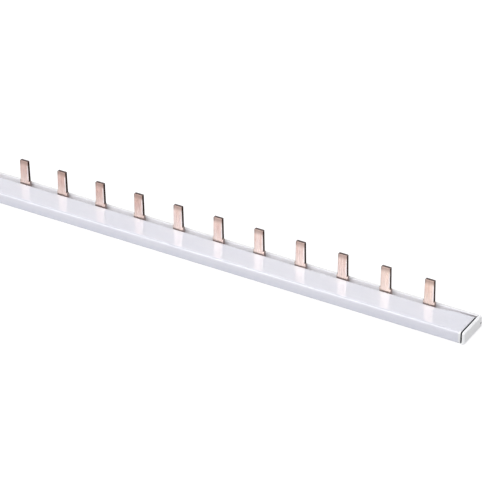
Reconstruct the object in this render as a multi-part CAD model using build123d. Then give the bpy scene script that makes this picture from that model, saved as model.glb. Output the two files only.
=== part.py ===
"""One-pole comb busbar with bent-up pins, in millimetres.

X runs along the bar, Y from the front to the pins' side and Z up. The origin is the middle of the
footprint, at the height of the surface that the bar lies on, so the end caps' lowest edges are at Z = 0.
"""

import os

from build123d import *

# Copper comb
pin_count = 12
pin_pitch = 17.8  # spacing of the pole terminals on 18 mm modular devices
pin_width = 4.0  # just above the shoulders
pin_tip_width = 3.75
pin_reach = 10.3  # pin tip above the housing's top face
shoulder_width = 4.8  # across the pin's root, both shoulders included
shoulder_rise = 1.35  # shoulders above the housing's top face
shoulder_fillet = 0.22  # between the shoulders and the sides of the pin
shoulder_corner = 0.16  # outer corners of the shoulders
copper_thickness = 1.25
bend_radius = 0.5  # inside of the fold between strip and pin
tab_length = 1.0  # flat stretch between the strip's rear edge and the fold
punch_radius = 0.4  # inside corners that the punch leaves beside each tab
edge_break = 0.13  # broken edge round the front of each pin, where the punch went in
tip_corner = 0.22  # corners of the tip, seen from the front

# Plastic housing
top_depth = 10.6  # front face to the slot
slot_width = 2.3  # along the pins
slot_end_width = 1.05  # beside the end caps, where no pin holds the slot open
narrowing_start = 3.7  # middle of the last pin to where the slot starts to narrow
narrowing_length = 7.6
narrowing_round = 20  # gentle bends at both ends of the narrowing edge
lip_thickness = 1.5  # narrow wall behind the slot
wall_thickness = 1.1  # floor, front wall and top plate
housing_overhang = 18.35  # housing's end beyond the centre of the last pin
front_round = 0.75  # top edge along the front
lip_flat = 0.7  # left on the lip's top between its two rounded edges
base_round = 0.4  # both bottom edges
cavity_round = 0.25
slot_edge_round = 0.2
rib_height = 1.15  # hold-down ribs under the top plate
rib_width = 0.8
rib_round = 0.3
rib_inset = 1.9  # from each edge of the strip to the middle of its rib

# Clearances of the comb in the housing
strip_front_play = 0.3
strip_rib_play = 0.1
pin_slot_gap = 0.3  # slot's front edge to the face of the pins
strip_end_play = 0.4  # strip's end to the end cap's tongue

# End caps
cap_proud = 0.2  # flange beyond the housing's outline, all round
flange_rim = 0.45  # straight part of the flange's edge
flange_bevel = 0.45
flange_back_round = 1.25  # upper rear corner, rounder than the housing's
groove_width = 0.55  # shadow groove between the housing's end and the flange
neck_bearing = 0.3  # part of the wall's end that the neck covers
tongue_length = 6.0
tongue_play = 0.08
tongue_draft = 1.5  # degrees that the tongue narrows towards its tip
tongue_slot_gap = 0.4  # tongue stays this far in front of the slot
pocket_size = 0.8  # pry pocket in the outer face, near the rear edge
pocket_depth = 0.6
pocket_inset = 1.05  # rear edge of the flange to the middle of the pocket
pocket_rise = 1.9  # underside of the flange to the middle of the pocket
pocket_round = 0.2

tiny = 0.01  # margin for picking edges by their place, no size of the part

# Places that follow from the sizes above
housing_depth = top_depth + slot_width + lip_thickness
cavity_height = copper_thickness + strip_rib_play + rib_height
housing_height = cavity_height + 2 * wall_thickness
lip_round = lip_thickness - slot_edge_round - lip_flat
base_z = cap_proud
top_z = base_z + housing_height
front_y = -housing_depth / 2
slot_front_y = front_y + top_depth
slot_back_y = slot_front_y + slot_width
slot_narrow_y = slot_back_y - slot_end_width
cavity_front_y = front_y + wall_thickness
cavity_floor_z = base_z + wall_thickness
cavity_top_z = top_z - wall_thickness

strip_middle_z = cavity_floor_z + copper_thickness / 2
pin_face_y = slot_front_y + pin_slot_gap
pin_middle_y = pin_face_y + copper_thickness / 2
pin_tip_z = top_z + pin_reach
shoulder_z = top_z + shoulder_rise
fold_start_y = pin_face_y - bend_radius
fold_top_z = cavity_floor_z + copper_thickness + bend_radius
strip_front_y = cavity_front_y + strip_front_play
strip_rear_y = fold_start_y - tab_length
rib_places_y = [strip_front_y + rib_inset, strip_rear_y - rib_inset]

pin_places_x = [(number - (pin_count - 1) / 2) * pin_pitch for number in range(pin_count)]
last_pin_x = pin_places_x[-1]
housing_end_x = last_pin_x + housing_overhang
narrowing_x = last_pin_x + narrowing_start
narrow_x = narrowing_x + narrowing_length
tongue_end_x = housing_end_x - tongue_length
strip_end_x = tongue_end_x - strip_end_play


def box_face(left, right, low, high):
    """A rectangle given by its four edges."""
    return Pos((left + right) / 2, (low + high) / 2) * Rectangle(right - left, high - low)


def rounded(section, radius, *places):
    """The section with the corners at these places rounded, where a radius is left to round them."""
    if radius <= 0:
        return section
    return fillet([section.vertices().sort_by_distance(place)[0] for place in places], radius)


def bar_outline(grow, back_round):
    """The housing's outer section, larger all round by grow, with its own upper rear corner."""
    back_y = housing_depth / 2 + grow
    low_z = base_z - grow
    high_z = top_z + grow
    section = box_face(-back_y, back_y, low_z, high_z)
    section = rounded(section, base_round + grow, (-back_y, low_z), (back_y, low_z))
    section = rounded(section, front_round + grow, (-back_y, high_z))
    return rounded(section, back_round, (back_y, high_z))


def along_bar(section, x_from, x_to):
    """A section, drawn in Y and Z, extruded along the bar."""
    return extrude(Plane.YZ.offset(x_from) * section, amount=x_to - x_from)


def slot():
    """The slot seen from above: wide along the pins, and narrower beside both end caps."""
    outline = Polygon(
        (-housing_end_x, slot_narrow_y),
        (-narrow_x, slot_narrow_y),
        (-narrowing_x, slot_front_y),
        (narrowing_x, slot_front_y),
        (narrow_x, slot_narrow_y),
        (housing_end_x, slot_narrow_y),
        (housing_end_x, slot_back_y),
        (-housing_end_x, slot_back_y),
        align=None,
    )
    bends = [(side * narrow_x, slot_narrow_y) for side in (-1, 1)]
    bends += [(side * narrowing_x, slot_front_y) for side in (-1, 1)]
    outline = rounded(outline, narrowing_round, *bends)
    return extrude(Plane.XY.offset(cavity_top_z) * outline, amount=wall_thickness)


def housing():
    """The extruded C: cavity, slot behind the top plate, and two ribs that hold the strip down."""
    section = bar_outline(0, lip_round)
    section -= box_face(cavity_front_y, slot_back_y, cavity_floor_z, cavity_top_z)
    section = rounded(
        section,
        cavity_round,
        (cavity_front_y, cavity_floor_z),
        (cavity_front_y, cavity_top_z),
        (slot_back_y, cavity_floor_z),
    )
    rib_tip_z = cavity_top_z - rib_height
    for rib_y in rib_places_y:
        sides = (rib_y - rib_width / 2, rib_y + rib_width / 2)
        section += box_face(*sides, rib_tip_z, cavity_top_z)
        section = rounded(section, rib_round, *((side, rib_tip_z) for side in sides))
    body = along_bar(section, -housing_end_x, housing_end_x) - slot()
    slot_edges = body.edges().group_by(Axis.Z)[-1]
    slot_edges = slot_edges.filter_by_position(Axis.Y, slot_front_y - tiny, slot_back_y + tiny)
    return fillet(slot_edges, slot_edge_round)


def flat_blank():
    """The strip with the flat roots of its tabs, as it lies before the pins are folded."""
    strip_depth = strip_rear_y - strip_front_y
    blank = Pos(0, (strip_front_y + strip_rear_y) / 2) * Rectangle(2 * strip_end_x, strip_depth)
    for pin_x in pin_places_x:
        blank += Pos(pin_x, strip_rear_y + tab_length / 2) * Rectangle(shoulder_width, tab_length)
        sides = (pin_x - shoulder_width / 2, pin_x + shoulder_width / 2)
        blank = rounded(blank, punch_radius, *((side, strip_rear_y) for side in sides))
    return extrude(Plane.XY.offset(cavity_floor_z) * blank, amount=copper_thickness)


def pin_outline():
    """A pin seen from the front, above its fold: wide root, two shoulders and a tapered blade."""
    half_root = shoulder_width / 2
    half_foot = pin_width / 2
    half_tip = pin_tip_width / 2
    outline = Polygon(
        (-half_root, fold_top_z),
        (half_root, fold_top_z),
        (half_root, shoulder_z),
        (half_foot, shoulder_z),
        (half_tip, pin_tip_z),
        (-half_tip, pin_tip_z),
        (-half_foot, shoulder_z),
        (-half_root, shoulder_z),
        align=None,
    )
    outline = rounded(outline, shoulder_fillet, (-half_foot, shoulder_z), (half_foot, shoulder_z))
    outline = rounded(outline, shoulder_corner, (-half_root, shoulder_z), (half_root, shoulder_z))
    return rounded(outline, tip_corner, (-half_tip, pin_tip_z), (half_tip, pin_tip_z))


def folded_pin():
    """One pin at X = 0: round the fold, then straight up, with its edges broken in front."""
    root = Pos(0, strip_middle_z) * Rectangle(shoulder_width, copper_thickness)
    fold_axis = Axis((0, fold_start_y, fold_top_z), (1, 0, 0))
    fold = revolve(Plane.XZ.offset(-fold_start_y) * root, fold_axis, 90)

    face = Plane.XZ.offset(-pin_middle_y) * pin_outline()
    upright = extrude(face, amount=copper_thickness / 2, both=True)
    front_edges = upright.edges().group_by(Axis.Y)[0]
    front_edges = front_edges.filter_by_position(Axis.Z, fold_top_z + tiny, pin_tip_z + tiny)
    return fold + chamfer(front_edges, edge_break)


def copper_comb():
    """One stamping: the strip with its row of folded pins."""
    pin = folded_pin()
    return flat_blank() + [Pos(pin_x) * pin for pin_x in pin_places_x]


def end_cap():
    """The plug at the right-hand end: flange, neck and tongue."""
    groove_depth = wall_thickness - neck_bearing
    flange_x = housing_end_x + groove_width
    outer_x = flange_x + flange_rim + flange_bevel

    flange = along_bar(bar_outline(cap_proud, flange_back_round), flange_x, outer_x)
    flange = chamfer(flange.faces().sort_by(Axis.X)[-1].edges(), flange_bevel)
    pocket_place = Pos(housing_depth / 2 + cap_proud - pocket_inset, pocket_rise)
    pocket = pocket_place * RectangleRounded(pocket_size, pocket_size, pocket_round)
    flange -= along_bar(pocket, outer_x - pocket_depth, outer_x)

    neck = along_bar(bar_outline(-groove_depth, 0), housing_end_x, flange_x)

    tongue_low_z = cavity_floor_z + tongue_play
    tongue_high_z = cavity_top_z - tongue_play
    tongue_front_y = cavity_front_y + tongue_play
    root = box_face(tongue_front_y, slot_front_y - tongue_slot_gap, tongue_low_z, tongue_high_z)
    root = rounded(
        root, cavity_round, (tongue_front_y, tongue_low_z), (tongue_front_y, tongue_high_z)
    )
    half_groove = rib_width / 2 + tongue_play
    for rib_y in rib_places_y:
        root -= box_face(
            rib_y - half_groove,
            rib_y + half_groove,
            cavity_top_z - rib_height - tongue_play,
            cavity_top_z,
        )
    root = Plane.YZ.offset(housing_end_x) * root
    tongue = extrude(root, amount=tongue_length, dir=(-1, 0, 0), taper=tongue_draft)
    return tongue + neck + flange


right_cap = end_cap()
parts = {
    "housing": housing(),
    "copper_comb": copper_comb(),
    "end_cap_right": right_cap,
    "end_cap_left": mirror(right_cap, about=Plane.YZ),
}

os.makedirs("parts", exist_ok=True)
for name, part in parts.items():
    part.label = name
    export_step(part, f"parts/{name}.step")
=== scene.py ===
"""Looks of the comb busbar: materials, studio light and the photograph's camera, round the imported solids."""

import math

import bpy
from mathutils import Matrix, Vector

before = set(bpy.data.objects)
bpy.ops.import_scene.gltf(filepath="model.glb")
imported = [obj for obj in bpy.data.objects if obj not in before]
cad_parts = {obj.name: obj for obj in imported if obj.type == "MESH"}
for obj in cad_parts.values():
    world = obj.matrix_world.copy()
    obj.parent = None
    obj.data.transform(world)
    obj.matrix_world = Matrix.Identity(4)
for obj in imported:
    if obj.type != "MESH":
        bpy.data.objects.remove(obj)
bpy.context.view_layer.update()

MM = 0.001


def rgb(r, g, b):
    return (r, g, b, 1.0)


# Places on the part in millimetres: lengths along X from the middle, depths on Y and heights on Z
HOUSING_END = 116.25
FLANGE_BACK = 116.8
FLANGE_FACE = 117.7
PIN_PITCH = 17.8
SLOT_BACK = 5.7
PLATE_TOP = 4.9
PIN_TIP = 15.2

# Colours of the housing
BLACK = rgb(0.0, 0.0, 0.0)
WHITE = rgb(1.0, 1.0, 1.0)
LAVENDER = rgb(0.795, 0.79, 0.862)
PALE_LAVENDER = rgb(0.825, 0.82, 0.882)
DRAWN_LINES = rgb(0.775, 0.775, 0.85)
FRONT_LOW_PAINTED_SHADE = rgb(0.95, 0.96, 0.99)
FRONT_HIGH_PAINTED_LIGHT = rgb(1.03, 1.025, 1.045)
RIDGE_LOW_PAINTED_HIGHLIGHT = rgb(1.06, 1.06, 1.06)
RIDGE_HIGH_PAINTED_SHADE = rgb(0.80, 0.80, 0.81)
UNDERSIDE_PAINTED_SHADE = rgb(0.72, 0.72, 0.75)
END_PAINTED_LIGHT = rgb(0.99, 0.99, 0.99)
SLOT_WALL_PAINTED_LIGHT = rgb(0.90, 0.88, 0.90)
SLOT_PAINTED_GLOW = rgb(1.0, 0.98, 1.0)
LIP_PAINTED_LIGHT = rgb(0.99, 0.975, 0.97)
SLOT_END_PAINTED_SHADE = rgb(0.2, 0.175, 0.17)
SEAM_PAINTED_SHADE = rgb(0.02, 0.02, 0.022)

# Colours of the end caps
CAP_COOL = rgb(0.975, 0.975, 0.98)
CAP_WHITE = rgb(0.99, 0.99, 0.99)
CAP_GRAIN = rgb(0.92, 0.92, 0.93)
CAP_END_PAINTED_SHADE = rgb(0.86, 0.855, 0.85)
CAP_PAINTED_SHADE = rgb(0.012, 0.011, 0.011)

# Colours of the copper
COPPER_DEEP = rgb(0.77, 0.57, 0.51)
COPPER_PALE = rgb(0.84, 0.68, 0.63)
COPPER_STREAK = rgb(0.69, 0.46, 0.39)
COPPER_PATCH = rgb(0.61, 0.39, 0.32)
AGED_TINT = rgb(0.80, 0.735, 0.715)
FRESH_TINT = rgb(1.04, 1.03, 0.97)
WARM_ROOT = rgb(0.94, 0.82, 0.74)
RIGHT_EDGE_PAINTED_HIGHLIGHT = rgb(0.99, 0.92, 0.885)
LEFT_EDGE_PAINTED_SHADE = rgb(0.88, 0.91, 0.91)
TIP_PAINTED_SHADE = rgb(0.33, 0.23, 0.20)
TIP_CORNER_PAINTED_SHADE = rgb(0.20, 0.175, 0.165)
TIP_TOP_AND_FOOT_PAINTED_SHADE = rgb(0.20, 0.15, 0.14)
ROLLED_EDGE_PAINTED_SHADE = rgb(0.27, 0.19, 0.17)
TORN_AND_SHADED_DARK = rgb(0.008, 0.002, 0.001)
TORN_AND_SHADED_LIGHT = rgb(0.03, 0.01, 0.008)
SHOULDER_SIDE_PAINTED_SHADE = rgb(0.38, 0.30, 0.285)

# Colours of the studio
FLOOR_GREY = rgb(0.51, 0.51, 0.512)
FLOOR_PALE = rgb(0.53, 0.53, 0.53)
SKY = rgb(0.95, 0.96, 1.0)

NOISE_RANGE = (0.3, 0.7)  # most of a noise's values lie between these


# Node helpers
class Shader:
    """A material's node tree with one Principled shader and short ways to add nodes to it."""

    def __init__(self, name, **constants):
        self.material = bpy.data.materials.new(name)
        self.material.use_nodes = True
        self.tree = self.material.node_tree
        self.shader = self.tree.nodes["Principled BSDF"]
        self.shader.inputs["Subsurface Radius"].default_value = (1.0, 1.0, 1.0)
        for socket, value in constants.items():
            self.shader.inputs[socket.replace("_", " ")].default_value = value
        self.metres = self.tree.nodes.new("ShaderNodeTexCoord").outputs["Object"]

    def node(self, kind, inputs=(), **settings):
        made = self.tree.nodes.new("ShaderNode" + kind)
        for key, value in settings.items():
            setattr(made, key, value)
        for key, value in dict(inputs).items():
            self.feed(made.inputs[key], value)
        return made

    def feed(self, socket, value):
        if isinstance(value, bpy.types.NodeSocket):
            self.tree.links.new(value, socket)
        else:
            socket.default_value = value

    def scaled(self, x, y, z):
        return self.node("Mapping", {"Vector": self.metres, "Scale": (x, y, z)}).outputs[0]

    def place(self):
        """X, Y and Z on the part in millimetres."""
        return self.node("SeparateXYZ", {"Vector": self.scaled(1 / MM, 1 / MM, 1 / MM)}).outputs

    def facing(self):
        """X, Y and Z of the direction that the surface faces."""
        normal = self.node("NewGeometry").outputs["Normal"]
        return self.node("SeparateXYZ", {"Vector": normal}).outputs

    def noise(self, per_metre, detail, roughness=0.5, distortion=0.0):
        """Noise with so many features in a metre along X, Y and Z."""
        inputs = {
            "Vector": self.scaled(*per_metre),
            "Scale": 1.0,
            "Detail": detail,
            "Roughness": roughness,
            "Distortion": distortion,
        }
        return self.node("TexNoise", inputs).outputs["Fac"]

    def span(self, value, low, high, to_low=0.0, to_high=1.0, smooth=True):
        """The value's range from low to high, turned into the range from to_low to to_high."""
        inputs = {0: value, 1: low, 2: high, 3: to_low, 4: to_high}
        kind = "SMOOTHSTEP" if smooth else "LINEAR"
        return self.node("MapRange", inputs, interpolation_type=kind).outputs[0]

    def rise(self, value, low, high):
        """0 up to low, and 1 from high on."""
        return self.span(value, low, high)

    def fall(self, value, low, high):
        """1 up to low, and 0 from high on."""
        return self.span(value, low, high, 1.0, 0.0)

    def band(self, value, low, high, edge=0.03):
        """1 between low and high, and 0 outside them."""
        return self.product(self.rise(value, low, low + edge), self.fall(value, high - edge, high))

    def math(self, operation, a, b=0.0):
        return self.node("Math", {0: a, 1: b}, operation=operation).outputs[0]

    def product(self, first, *others):
        for other in others:
            first = self.math("MULTIPLY", first, other)
        return first

    def mix(self, amount, a, b, blend="MIX"):
        made = self.node("Mix", data_type="RGBA", blend_type=blend)
        self.feed(made.inputs[0], amount)
        self.feed(made.inputs[6], a)
        self.feed(made.inputs[7], b)
        return made.outputs[2]

    def paint(self, color, over, *masks):
        """The colour, with another over it where the masks say."""
        return self.mix(self.product(*masks), color, over)

    def tint(self, color, factors, *masks):
        """The colour, times a factor for each channel where the masks say."""
        return self.mix(self.product(*masks), color, factors, "MULTIPLY")

    def bump(self, height, distance, strength=1.0, under=None):
        """A normal with the height's relief, which is so many millimetres deep, on the one under it."""
        inputs = {"Height": height, "Distance": distance * MM, "Strength": strength}
        if under is not None:
            inputs["Normal"] = under
        return self.node("Bump", inputs).outputs[0]

    def finish(self, color, roughness, normal):
        self.feed(self.shader.inputs["Base Color"], color)
        self.feed(self.shader.inputs["Roughness"], roughness)
        self.feed(self.shader.inputs["Normal"], normal)
        return self.material


# Materials
def housing_plastic():
    """Glossy extruded white: faint lavender, fine lines along the bar, a slow waviness and a few rubs, with
    painted light and shade on the front, ridge, underside, slot, lip and the end by the seam.
    """
    s = Shader(
        "housing_plastic",
        IOR=1.52,
        Subsurface_Weight=0.8,
        Subsurface_Scale=2 * MM,
        Emission_Strength=0.06,
    )
    lines = s.noise((9, 2600, 2600), detail=3, roughness=0.6)
    broad_lines = s.noise((3, 420, 420), detail=2)
    waves = s.noise((26, 60, 60), detail=1)
    patches = s.noise((40, 120, 120), detail=3, roughness=0.55, distortion=0.4)
    rubs = s.noise((700, 160, 160), detail=4, roughness=0.7)
    x, y, z = s.place()
    from_middle = s.math("ABSOLUTE", x)
    _, facing_y, facing_z = s.facing()

    color = s.mix(s.span(patches, *NOISE_RANGE), LAVENDER, PALE_LAVENDER)
    color = s.paint(color, DRAWN_LINES, s.span(broad_lines, 0.35, 0.65, 0.0, 0.35))

    front = s.fall(facing_y, -0.95, -0.85)
    # painted shade low on the front face and painted light high on it
    color = s.tint(color, s.mix(s.rise(z, 0.8, 4.2), FRONT_LOW_PAINTED_SHADE, FRONT_HIGH_PAINTED_LIGHT), front)
    ridge = s.product(s.fall(facing_y, -0.35, -0.15), s.rise(facing_z, 0.05, 0.25))
    # painted highlight on the ridge's lower, front-facing part and painted shade on its upper part
    color = s.tint(color, s.mix(s.rise(facing_z, 0.5, 0.8), RIDGE_LOW_PAINTED_HIGHLIGHT, RIDGE_HIGH_PAINTED_SHADE), ridge)
    # painted shade on the surfaces that face down
    color = s.tint(color, UNDERSIDE_PAINTED_SHADE, s.fall(facing_z, -0.45, -0.1))
    # painted light: near the housing's end the front and the ridge turn nearly white
    near_end = s.rise(from_middle, HOUSING_END - 1.25, HOUSING_END - 0.55)
    color = s.paint(color, END_PAINTED_LIGHT, s.math("MAXIMUM", front, ridge), near_end, 0.9)

    # The thin lip lets light through; on the slot's inner wall, painted light and a painted glow add to it,
    # and painted shade darkens it where the slot is narrow
    slot_wall = s.product(
        s.band(y, SLOT_BACK - 0.08, SLOT_BACK + 0.08),
        s.fall(z, PLATE_TOP - 0.22, PLATE_TOP - 0.1),
    )
    color = s.paint(color, SLOT_WALL_PAINTED_LIGHT, slot_wall)
    # painted glow: an emission on the slot wall, stronger deeper down and away from the ends
    deeper = s.span(z, PLATE_TOP - 1.1, PLATE_TOP - 0.5, 1.0, 0.15)
    painted_glow = s.product(deeper, s.fall(from_middle, 100, 110), slot_wall)
    s.feed(s.shader.inputs["Emission Color"], s.mix(painted_glow, BLACK, SLOT_PAINTED_GLOW))
    # painted light on the lip's top
    on_lip = s.rise(y, SLOT_BACK, SLOT_BACK + 0.2)
    color = s.paint(color, LIP_PAINTED_LIGHT, on_lip, s.rise(z, PLATE_TOP - 0.5, PLATE_TOP - 0.2))
    # painted shade on the slot's wall, growing towards the ends where the slot narrows
    narrowing = s.span(from_middle, 104.5, 116.5, 0.0, 0.62, smooth=False)
    color = s.paint(color, SLOT_END_PAINTED_SHADE, slot_wall, narrowing)

    # painted shade in the seam: the housing's last fifth of a millimetre turns nearly black, except on the lip
    at_end = s.rise(from_middle, HOUSING_END - 0.21, HOUSING_END - 0.15)
    before_lip = s.fall(y, SLOT_BACK - 0.3, SLOT_BACK + 0.1)
    color = s.paint(color, SEAM_PAINTED_SHADE, at_end, before_lip, 0.95)

    rubbed = s.product(s.rise(rubs, 0.56, 0.72), 0.05)
    roughness = s.math("ADD", s.span(lines, *NOISE_RANGE, 0.1, 0.15), rubbed)
    normal = s.bump(waves, 0.12)
    normal = s.bump(broad_lines, 0.006, under=normal)
    normal = s.bump(lines, 0.003, under=normal)
    return s.finish(color, roughness, normal)


def cap_plastic():
    """Moulded white with a fine spark grain, a little greyer than the housing, with painted shade on the end
    faces, in the groove and in the pocket.
    """
    s = Shader("cap_plastic", IOR=1.5)
    grain = s.noise((4200, 4200, 4200), detail=3, roughness=0.6)
    patches = s.noise((180, 180, 180), detail=3)
    x, y, z = s.place()
    from_middle = s.math("ABSOLUTE", x)
    facing_x, _, _ = s.facing()

    color = s.mix(s.span(patches, *NOISE_RANGE), CAP_COOL, CAP_WHITE)
    color = s.paint(color, CAP_GRAIN, s.span(grain, 0.35, 0.65, 0.0, 0.3))
    # painted shade on the faces that look along the bar
    color = s.tint(color, CAP_END_PAINTED_SHADE, s.rise(s.math("ABSOLUTE", facing_x), 0.93, 0.97))

    # painted shade in the groove beside the flange and in the pocket on the end face
    groove = s.product(
        s.fall(from_middle, FLANGE_BACK - 0.04, FLANGE_BACK),
        s.fall(y, SLOT_BACK - 0.3, SLOT_BACK + 0.1),
    )
    pocket = s.product(
        s.band(from_middle, FLANGE_FACE - 0.65, FLANGE_FACE - 0.04),
        s.band(y, 5.9, 6.8),
        s.band(z, 1.45, 2.35),
    )
    color = s.paint(color, CAP_PAINTED_SHADE, s.math("MAXIMUM", groove, pocket))
    roughness = s.span(grain, *NOISE_RANGE, 0.32, 0.45)
    return s.finish(color, roughness, s.bump(grain, 0.03))


def copper():
    """Bare copper: streaks up the pins, painted shade on the tips, feet, left edges and torn sides, and a
    painted highlight along the right edges.
    """
    s = Shader("copper", IOR=1.05, Specular_IOR_Level=0.1)
    streaks = s.noise((2600, 60, 60), detail=4, roughness=0.65)
    broad = s.noise((700, 45, 45), detail=2)
    patches = s.noise((260, 260, 260), detail=4, roughness=0.6)
    pits = s.noise((3000, 3000, 3000), detail=3, roughness=0.7)
    x, _, z = s.place()
    facing_x, _, facing_z = s.facing()
    sideways = s.math("ABSOLUTE", facing_x)

    color = s.mix(s.span(broad, 0.32, 0.68), COPPER_DEEP, COPPER_PALE)
    color = s.paint(color, COPPER_STREAK, s.span(streaks, 0.45, 0.75, 0.0, 0.5))
    color = s.paint(color, COPPER_PATCH, s.span(patches, 0.55, 0.8, 0.0, 0.5))
    color = s.tint(color, AGED_TINT, s.fall(x, -23, -12))
    color = s.tint(color, FRESH_TINT, s.rise(x, 65, 85))

    # Millimetres from the middle of the nearest pin
    pitches = s.math("SUBTRACT", s.math("FRACT", s.math("DIVIDE", x, PIN_PITCH)), 0.5)
    across = s.product(pitches, PIN_PITCH)
    color = s.paint(color, WARM_ROOT, s.fall(z, PLATE_TOP + 0.9, PLATE_TOP + 6.6), 0.45)
    # painted highlight along the right edge of each pin's front
    color = s.paint(color, RIGHT_EDGE_PAINTED_HIGHLIGHT, s.rise(across, 1.3, 1.6), s.band(z, 6.4, 14.1, edge=1.2), 0.9)
    # painted shade along the left edge of each pin
    color = s.tint(color, LEFT_EDGE_PAINTED_SHADE, s.fall(across, -1.9, -1.4))

    # Painted shade at the tips and feet, with an uneven edge
    wavering = s.product(s.math("SUBTRACT", patches, 0.5), 1.2)
    height = s.math("ADD", z, wavering)
    tip_band = s.rise(height, PIN_TIP - 2.8, PIN_TIP - 0.2)
    color = s.paint(color, TIP_PAINTED_SHADE, tip_band, 0.74)
    # painted shade on the left corner of each tip
    corner = s.product(s.fall(across, -1.7, -1.0), s.rise(height, PIN_TIP - 2.0, PIN_TIP - 0.8))
    color = s.paint(color, TIP_CORNER_PAINTED_SHADE, corner, 0.55)
    # painted shade on the tips' top faces and at the pins' feet by the slot
    cut_end = s.product(s.rise(facing_z, 0.85, 0.95), s.rise(height, PIN_TIP - 0.8, PIN_TIP - 0.3))
    foot = s.fall(height, PLATE_TOP + 0.1, PLATE_TOP + 0.7)
    color = s.paint(color, TIP_TOP_AND_FOOT_PAINTED_SHADE, s.math("MAXIMUM", cut_end, foot), 0.7)

    # Sides that the punch tore, and the rolled edges beside them, with painted shade on both
    color = s.paint(color, ROLLED_EDGE_PAINTED_SHADE, s.rise(sideways, 0.3, 0.6), s.fall(sideways, 0.75, 0.9), 0.8)
    sheared = s.rise(sideways, 0.8, 0.97)
    # the torn sides: a matte fracture tone darkened to near black by painted shade
    torn_and_shaded = s.mix(s.rise(pits, 0.35, 0.65), TORN_AND_SHADED_DARK, TORN_AND_SHADED_LIGHT)
    # a lighter painted shade on the sides of the pins' shoulders
    torn_and_shaded = s.paint(torn_and_shaded, SHOULDER_SIDE_PAINTED_SHADE, s.fall(z, 6.1, 6.3))
    color = s.paint(color, torn_and_shaded, sheared, 0.98)
    s.feed(s.shader.inputs["Metallic"], s.math("SUBTRACT", 1.0, s.product(sheared, 0.95)))

    roughness = s.span(streaks, *NOISE_RANGE, 0.24, 0.38)
    roughness = s.math("ADD", roughness, s.product(tip_band, 0.1))
    roughness = s.math("ADD", roughness, s.product(sheared, 0.3))
    normal = s.bump(streaks, 0.004)
    normal = s.bump(pits, 0.02, strength=0.35, under=normal)
    return s.finish(color, roughness, normal)


def floor_paint():
    """Pale studio sweep, bright by itself so that the part stands in an even white."""
    s = Shader("studio_floor", Emission_Strength=0.6, Emission_Color=WHITE, Specular_IOR_Level=0.0)
    cloud = s.noise((3, 3, 3), detail=1)
    return s.finish(s.mix(cloud, FLOOR_GREY, FLOOR_PALE), 0.9, s.bump(cloud, 0.1))


# Pieces
def dress(node, material):
    """Gives a CAD node its material."""
    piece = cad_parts[node]
    if not piece.material_slots:
        piece.data.materials.append(material)
    for slot in piece.material_slots:
        slot.material = material


moulded = cap_plastic()
dress("housing", housing_plastic())
dress("copper_comb", copper())
dress("end_cap_right", moulded)
dress("end_cap_left", moulded)


# Studio, in metres and watts
def studio_floor(half):
    mesh = bpy.data.meshes.new("studio_floor")
    corners = [(-half, -half, 0), (half, -half, 0), (half, half, 0), (-half, half, 0)]
    mesh.from_pydata(corners, [], [(0, 1, 2, 3)])
    mesh.materials.append(floor_paint())
    floor = bpy.data.objects.new("studio_floor", mesh)
    bpy.context.scene.collection.objects.link(floor)
    floor.visible_diffuse = False


def studio_world(strength):
    world = bpy.data.worlds.new("studio_world")
    world.use_nodes = True
    background = world.node_tree.nodes["Background"]
    background.inputs["Color"].default_value = SKY
    background.inputs["Strength"].default_value = strength
    bpy.context.scene.world = world


def softbox(name, place, size, power, target=(0, 0, 0)):
    """A rectangular lamp that faces its target."""
    lamp = bpy.data.lights.new(name, "AREA")
    lamp.shape = "RECTANGLE"
    lamp.size, lamp.size_y = size
    lamp.energy = power
    made = bpy.data.objects.new(name, lamp)
    bpy.context.scene.collection.objects.link(made)
    made.location = place
    made.rotation_euler = (Vector(target) - Vector(place)).to_track_quat("-Z", "Y").to_euler()


studio_floor(half=6.0)
studio_world(strength=0.42)
softbox("front_key", place=(0.0, -1.1, 1.3), size=(1.9, 1.3), power=11.5)
softbox("left_strip", place=(-0.62, -1.03, 0.74), size=(0.9, 0.7), power=5.5)
softbox("top_fill", place=(0.0, -0.1, 1.6), size=(1.8, 1.0), power=8)
softbox("right_fill", place=(1.45, -0.25, 0.35), size=(0.9, 0.55), power=4.6, target=(0.1, 0, 0))


# Camera
def photo_camera():
    """The photograph's view, from angles and a distance that were fitted to the pins and the long edges."""
    azimuth = math.radians(30.81)
    elevation = math.radians(30.88)
    roll = math.radians(-0.38)
    distance = 847 * MM
    aim = Vector((37.44, -20.52, 22.33)) * MM

    toward = Vector((
        math.sin(azimuth) * math.cos(elevation),
        -math.cos(azimuth) * math.cos(elevation),
        math.sin(elevation),
    ))
    level = Vector((math.cos(azimuth), math.sin(azimuth), 0))
    upright = toward.cross(level)
    right = math.cos(roll) * level + math.sin(roll) * upright
    up = math.cos(roll) * upright - math.sin(roll) * level

    lens = bpy.data.cameras.new("photo_camera")
    lens.sensor_width = 36
    lens.lens = 168.98
    lens.clip_start = 0.01
    lens.clip_end = 50
    camera = bpy.data.objects.new("photo_camera", lens)
    bpy.context.scene.collection.objects.link(camera)
    turned = Matrix((right, up, toward)).transposed()
    camera.matrix_world = Matrix.Translation(aim + toward * distance) @ turned.to_4x4()
    bpy.context.scene.camera = camera


photo_camera()
bpy.context.scene.view_settings.view_transform = "Standard"
